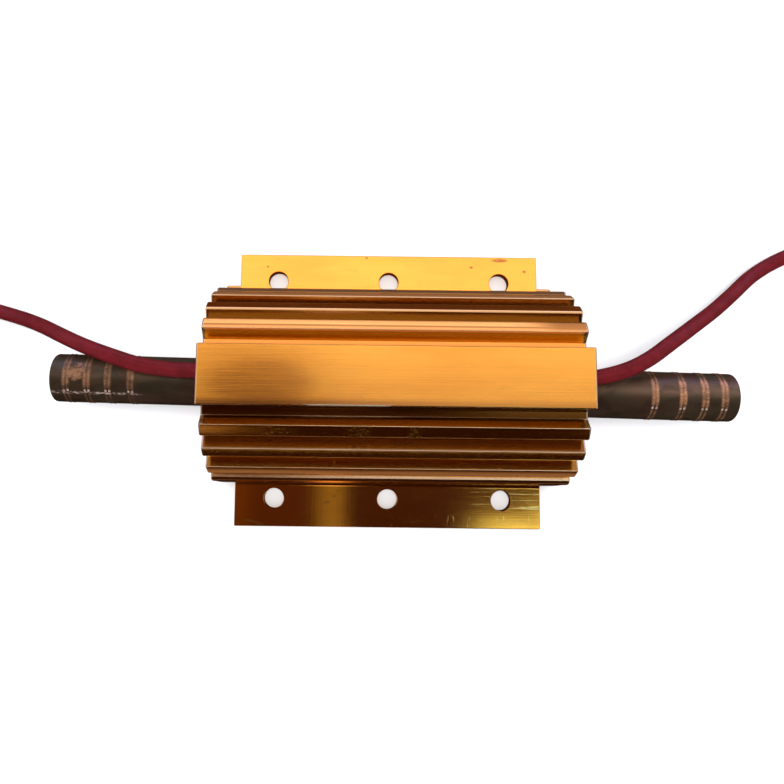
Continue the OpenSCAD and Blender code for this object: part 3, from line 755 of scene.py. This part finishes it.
housing = make_housing()
bm = bmesh.new()
bm.from_mesh(housing.data)
print("housing", len(bm.faces), "faces; open edges", sum(1 for e in bm.edges if not e.is_manifold),
      "volume mm3", round(bm.calc_volume() * 1e9))
bm.free()


# ---------------------------------------------------------------- cooling pipe
def make_pipe():
    """Turned along its own X axis; the object carries the skew."""
    x0, x1 = PIPE_SHIFT - PIPE_L / 2, PIPE_SHIFT + PIPE_L / 2
    ridges = [x0 + b for b in BEADS_L] + [x1 - b for b in BEADS_R]
    outer = []
    r_end = 0.85
    for k in range(7):
        t = math.radians(15 * k)
        outer.append((x0 + r_end * (1 - math.sin(t)), PIPE_R - r_end * (1 - math.cos(t))))
    outer.reverse()
    for c in sorted(ridges):
        for off in (-0.5 * BEAD_W - 0.12, 0.5 * BEAD_W + 0.12):
            for u in (-1.0, -0.6, -0.25, 0.25, 0.6, 1.0):
                w = u * BEAD_W / 2
                outer.append((c + off + w, PIPE_R + BEAD_H * 0.92 * (math.cos(u * math.pi) + 1) / 2))
    for k in range(7):
        t = math.radians(15 * k)
        outer.append((x1 - r_end * (1 - math.sin(t)), PIPE_R - r_end * (1 - math.cos(t))))
    outer = [q for i, q in enumerate(outer) if i == 0 or abs(q[0] - outer[i - 1][0]) + abs(q[1] - outer[i - 1][1]) > 1e-4]
    ri = PIPE_R - PIPE_WALL
    inner = [(x1, ri + 0.15), (x1 - 0.2, ri), (x0 + 0.2, ri), (x0, ri + 0.15)]
    o = lathe("copper_pipe", outer + inner, "X", 96, closed=False)
    o.data.materials.append(COPPER)
    o.data.shade_smooth()
    o.data.set_sharp_from_angle(angle=math.radians(42))
    o.location = (0, PIPE_Y * MM, AXIS_Z * MM)
    o.rotation_euler = (0, 0, -math.radians(PIPE_SKEW))
    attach(o, "root")
    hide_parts("cooling_pipe")
    return o


make_pipe()

# ---------------------------------------------------------------- end seals, leads, strands, ties
SIDES = {-1: "left", 1: "right"}


def make_seal(side):
    """A ring of cement between bore and pipe, drawn up a little where it wets them."""
    word = SIDES[side]
    px = 43.3 * side
    pc = Vector((PIPE_Y - px * math.tan(math.radians(PIPE_SKEW)), AXIS_Z))
    bc = Vector((0.0, AXIS_Z))
    ly, lz = LEAD_AT[side]
    bm = bmesh.new()
    loops = []
    n_a, n_r = 96, 20
    for i in range(n_a):
        a = 2 * math.pi * i / n_a
        e = Vector((math.cos(a), math.sin(a)))
        loop = []
        for k in range(n_r + 1):
            t = k / n_r
            t = 0.5 - 0.5 * math.cos(math.pi * t)
            q = (pc + e * 5.9).lerp(bc + e * 12.48, t)
            wet = 0.30 * math.exp(-(12.5 - (q - bc).length) / 0.5) + 0.34 * math.exp(-max(0.0, (q - pc).length - 6.0) / 0.6)
            wet += 0.30 * math.exp(-max(0.0, math.hypot(q.x - ly, q.y - lz) - 1.9) / 0.45)
            x = 43.42 + min(0.36, wet) + 0.07 * noise.noise(Vector((q.x * 0.5, q.y * 0.5, side * 3.0)))
            loop.append(bm.verts.new((side * x * MM, q.x * MM, q.y * MM)))
        for q in (bc + e * 12.48, pc + e * 5.9):
            loop.append(bm.verts.new((side * 41.0 * MM, q.x * MM, q.y * MM)))
        loops.append(loop)
    m = len(loops[0])
    for i in range(n_a):
        a, b = loops[i], loops[(i + 1) % n_a]
        for k in range(m):
            j = (k + 1) % m
            bm.faces.new((a[k], a[j], b[j], b[k]))
    bmesh.ops.recalc_face_normals(bm, faces=bm.faces)
    o = link_mesh(f"cement_seal_{word}", bm, 50, [SEAL])
    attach(o, "root")
    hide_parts(f"end_seal_{word}")
    return o


def make_strands(side, start, heading):
    """Nineteen tinned strands, twisted, splayed a little at the cut end."""
    word = SIDES[side]
    curve = bpy.data.curves.new(f"tinned_strands_{word}", "CURVE")
    curve.dimensions = "3D"
    sr = STRAND_D / 10
    u = Vector((-heading.y, heading.x, 0)).normalized()
    w = heading.cross(u)
    for ring, count in ((0.0, 1), (2 * sr, 6), (4 * sr, 12)):
        for c in range(count):
            sp = curve.splines.new("POLY")
            n = 26
            sp.points.add(n)
            for k in range(n + 1):
                t = k / n
                s = -0.6 + (STRIP_L + 0.6 - (0.25 if (c * 7 + count) % 3 == 0 else 0.0)) * t
                a = 2 * math.pi * c / count + s * 2 * math.pi / 24
                r = ring * (0.985 + 0.10 * smoothstep(0.72, 1.0, t) * (0.4 + 0.6 * ((c * 5) % 7) / 7))
                q = start + heading * s + u * (r * math.cos(a)) + w * (r * math.sin(a))
                sp.points[k].co = (q.x * MM, q.y * MM, q.z * MM, 1)
            sp.use_smooth = True
    curve.bevel_depth = sr * MM
    curve.bevel_resolution = 3
    curve.use_fill_caps = True
    curve.materials.append(TINNED)
    o = bpy.data.objects.new(curve.name, curve)
    scene.collection.objects.link(o)
    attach(o, "root")
    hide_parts(f"stripped_end_{word}")
    return o


def make_tie(side):
    """Ribbed nylon band round the coil with its square head on the outside."""
    word = SIDES[side]
    r0, r1, z0, z1, rad = 13.9, 26.15, 0.62, 4.46, 1.5
    path = []
    for cx, cz, a0 in ((r1 - rad, z1 - rad, 0), (r0 + rad, z1 - rad, 90), (r0 + rad, z0 + rad, 180), (r1 - rad, z0 + rad, 270)):
        for k in range(9):
            a = math.radians(a0 + 90 * k / 8)
            path.append(Vector((cx + rad * math.cos(a), cz + rad * math.sin(a))))
    fine = []
    for a, b in zip(path, path[1:] + path[:1]):
        n = max(1, round((b - a).length / 0.42))
        fine += [a.lerp(b, k / n) for k in range(n)]
    n = len(fine)
    bm = bmesh.new()
    rings = []
    for i, q in enumerate(fine):
        t = (fine[(i + 1) % n] - fine[i - 1]).normalized()
        out = Vector((t.y, -t.x))
        th = 0.58 - (0.16 if i % 2 else 0.0)
        hw, e = TIE_W / 2, 0.16
        sec = [(-hw + e, 0), (hw - e, 0), (hw, e), (hw, 0.42 - e), (hw - e, 0.42), (hw - 0.7, 0.42), (hw - 0.8, th),
               (-hw + 0.8, th), (-hw + 0.7, 0.42), (-hw + e, 0.42), (-hw, 0.42 - e), (-hw, e)]
        rings.append([bm.verts.new(((q.x + out.x * o) * MM, y * MM, (q.y + out.y * o) * MM)) for y, o in sec])
    m = len(rings[0])
    for i in range(n):
        a, b = rings[i], rings[(i + 1) % n]
        for k in range(m):
            j = (k + 1) % m
            bm.faces.new((a[k], a[j], b[j], b[k]))
    # head, its window and the trimmed tail
    def block(x0, x1, y0, y1, zz0, zz1, bevel):
        g = bmesh.ops.create_cube(bm, size=1.0)
        for v in g["verts"]:
            v.co = Vector(((x0 + x1) / 2 + v.co.x * (x1 - x0), (y0 + y1) / 2 + v.co.y * (y1 - y0), (zz0 + zz1) / 2 + v.co.z * (zz1 - zz0))) * MM
        edges = list({e for v in g["verts"] for e in v.link_edges})
        bmesh.ops.bevel(bm, geom=edges, offset=bevel * MM, segments=2, affect="EDGES", profile=0.6)
    block(26.62, 29.7, -2.6, -1.95, 0.1, 4.2, 0.18)
    block(26.62, 29.7, 1.95, 2.6, 0.1, 4.2, 0.18)
    block(26.62, 27.5, -2.1, 2.1, 0.1, 4.2, 0.12)
    block(28.9, 29.7, -2.1, 2.1, 0.1, 4.2, 0.18)
    block(27.9, 28.5, -1.9, 1.9, 0.3, 4.75, 0.1)
    block(27.3, 29.1, -2.1, 2.1, 0.5, 3.3, 0.12)
    bmesh.ops.recalc_face_normals(bm, faces=bm.faces)
    o = link_mesh(f"nylon_tie_{word}", bm, 32, [NYLON])
    a = math.radians(TIE_A if side < 0 else 180 - TIE_A)
    cx, cy = COIL_C[side]
    o.location = (cx * MM, cy * MM, 0)
    o.rotation_euler = (0, 0, a)
    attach(o, "root")
    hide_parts(f"coil_tie_{word}")
    return o


for side, word in SIDES.items():
    make_seal(side)
    pts = lead_path(side)
    lead = tube_curve(f"silicone_lead_{word}", pts, LEAD_D / 2, WIRE)
    end_dir = (pts[-1] - pts[-2]).normalized()
    strands = make_strands(side, pts[-1], end_dir)
    tie = make_tie(side)
    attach(lead, "root")
    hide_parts(f"lead_{word}", f"lead_coil_{word}")

CAD_MATS = {
    "housing": GOLD, "cooling_pipe": COPPER, "ceramic_former": CERAMIC, "resistance_winding": ALLOY,
    "potting_cement": CEMENT, "end_seal_left": SEAL, "end_seal_right": SEAL, "crimp_left": TINNED,
    "crimp_right": TINNED, "coil_tie_left": NYLON, "coil_tie_right": NYLON,
    "stripped_end_left": TINNED, "stripped_end_right": TINNED, "lead_left": WIRE, "lead_right": WIRE,
    "lead_coil_left": WIRE, "lead_coil_right": WIRE,
}
for name, mat in CAD_MATS.items():
    o = nodes[name]
    if not o.material_slots:
        o.data.materials.append(mat)
    for s in o.material_slots:
        s.material = mat


# ---------------------------------------------------------------- floor and light
def make_floor():
    bm = bmesh.new()
    s = 4.0
    for x, y in ((-s, -s), (s, -s), (s, s), (-s, s)):
        bm.verts.new((x, y, 0))
    bm.faces.new(bm.verts)
    m = Mat("floor_paper", Roughness=0.9)
    p = m.coords()
    n = m.noise(p, 0.05, 3.0, 0.5)
    m.set(Base_Color=m.mix(n, (0.86, 0.86, 0.86), (0.88, 0.88, 0.88)))
    m.b.inputs["Specular IOR Level"].default_value = 0.1
    floor = link_mesh("floor", bm, mats=[m.m])


make_floor()


def make_world():
    """A pale studio: bright towards the back, dim in front, darker straight above."""
    w = bpy.data.worlds.new("studio")
    scene.world = w
    w.use_nodes = True
    t = w.node_tree
    t.nodes.clear()
    m = Mat.__new__(Mat)
    m.t = t
    out = t.nodes.new("ShaderNodeOutputWorld")
    bg = t.nodes.new("ShaderNodeBackground")
    t.links.new(bg.outputs[0], out.inputs[0])
    x, y, z = m.split(m.node("TexCoord").outputs["Generated"])

    def ellipse(cx, cy, rx, ry, lo, hi):
        a = m.math("DIVIDE", m.math("SUBTRACT", x, cx), rx)
        b = m.math("DIVIDE", m.math("SUBTRACT", y, cy), ry)
        return m.step(m.math("ADD", m.math("MULTIPLY", a, a), m.math("MULTIPLY", b, b)), lo, hi, 1.0, 0.0)

    # overhead: dim over the front half, a white ceiling just behind
    top = m.mix(m.step(y, -0.012, 0.035), m.mix(m.step(x, -0.120, -0.142), m.mix(m.step(x, -0.02, -0.08), (0.052, 0.020, 0.005), (0.080, 0.029, 0.006)),
                                               (0.130, 0.056, 0.014)), (1.10, 1.08, 1.02))
    top = m.mix(m.step(y, 0.12, 0.2), top, (1.86, 1.82, 1.66))
    top = m.mix(m.step(y, 0.36, 0.46), top, (0.20, 0.155, 0.12))
    top = m.mix(m.math("MULTIPLY", ellipse(-0.135, 0.062, 0.097, 0.068, 0.3, 1.5), 0.95), top, (0.08, 0.055, 0.05))
    # a pale strip and a cool window over the front
    front = m.step(y, -0.012, -0.035)
    strip = m.math("MULTIPLY", m.math("MULTIPLY", m.step(x, -0.056, -0.028), m.step(x, -0.001, -0.018)), front)
    top = m.mix(strip, top, m.mix(m.step(y, -0.16, -0.3), (0.31, 0.29, 0.16), (1.7, 1.5, 1.3)))
    win = m.math("MULTIPLY", m.step(x, 0.13, 0.20), m.step(y, -0.02, -0.06))
    top = m.mix(m.math("MULTIPLY", win, m.step(y, -0.26, -0.17)), top, m.mix(m.step(y, -0.064, -0.090), (0.125, 0.125, 0.06), (0.26, 0.26, 0.12)))
    win = m.math("MULTIPLY", m.step(x, 0.13, 0.20), m.step(y, -0.084, -0.099))
    top = m.mix(m.math("MULTIPLY", win, m.step(y, -0.24, -0.17)), top, (1.5, 2.3, 2.2))
    # lower down: a bright band on the back wall, the rest dim, ends in between
    wall = m.mix(m.math("MULTIPLY", m.step(z, 0.05, 0.17), m.step(z, 0.60, 0.50)), (0.11, 0.06, 0.03), m.mix(m.step(z, 0.43, 0.52), (1.6, 1.70, 3.1), (0.55, 0.46, 0.75)))
    wall = m.mix(m.step(z, 0.55, 0.62), wall, (0.36, 0.36, 0.42))
    low = m.math("MULTIPLY", m.math("MULTIPLY", m.step(z, 0.30, 0.38), m.step(z, 0.54, 0.46)),
                 m.math("MAXIMUM", m.step(x, -0.15, -0.21), m.step(x, 0.33, 0.42)))
    dim = m.mix(low, (0.026, 0.011, 0.006), (0.62, 0.50, 0.40))
    wall = m.mix(m.step(y, -0.1, 0.3), dim, wall)
    wall = m.mix(m.step(m.math("ABSOLUTE", x), 0.72, 0.9), wall, (0.7, 0.7, 0.7))
    col = m.mix(m.step(z, 0.74, 0.84), wall, top)
    lp = m.node("LightPath")
    col = m.mix(lp.outputs["Is Diffuse Ray"], col, (1.12, 1.12, 1.12))
    col = m.mix(lp.outputs["Is Camera Ray"], col, (1.0, 1.0, 1.0))
    t.links.new(col, bg.inputs[0])
    bg.inputs[1].default_value = 1.0
    return w


make_world()


def area_light(name, loc, target, size, power, glossy=True, size_y=None):
    d = bpy.data.lights.new(name, "AREA")
    d.shape = "RECTANGLE"
    d.size = size
    d.size_y = size_y or size
    d.energy = power
    o = bpy.data.objects.new(name, d)
    scene.collection.objects.link(o)
    o.location = loc
    o.rotation_mode = "QUATERNION"
    o.rotation_quaternion = (Vector(target) - Vector(loc)).to_track_quat("-Z", "Y")
    o.visible_camera = False
    o.visible_glossy = glossy
    return o


def floor_card():
    """A dark cloth that only reflections see: the housing mirrors it, the picture keeps a pale floor."""
    bm = bmesh.new()
    for x, y in ((-0.6, -0.6), (0.6, -0.6), (0.6, 0.6), (-0.6, 0.6)):
        bm.verts.new((x, y, 0.00012))
    bm.faces.new(bm.verts)
    m = Mat("dark_cloth", Roughness=0.9)
    p = m.coords()
    n = m.noise(p, 0.05, 3.0, 0.5)
    back = m.step(m.split(p)[1], -40.0, 40.0)
    col = m.mix(m.math("MULTIPLY", back, n), (0.018, 0.008, 0.004), (0.11, 0.05, 0.018))
    band = m.step(m.math("ABSOLUTE", m.math("SUBTRACT", m.math("ABSOLUTE", m.split(p)[1]), 44.5)), 8.0, 5.0)
    m.set(Base_Color=m.mix(band, col, (0.21, 0.145, 0.085)))
    m.b.inputs["Specular IOR Level"].default_value = 0.0
    card = link_mesh("floor_card", bm, mats=[m.m])
    card.visible_camera = False
    card.visible_diffuse = False
    card.visible_shadow = False
    card.visible_transmission = False


floor_card()
area_light("top_fill", (0.0, 0.0, 0.9), (0, 0, 0), 0.25, 4.5, glossy=False)

scene.view_settings.view_transform = "Standard"
scene.view_settings.look = "None"

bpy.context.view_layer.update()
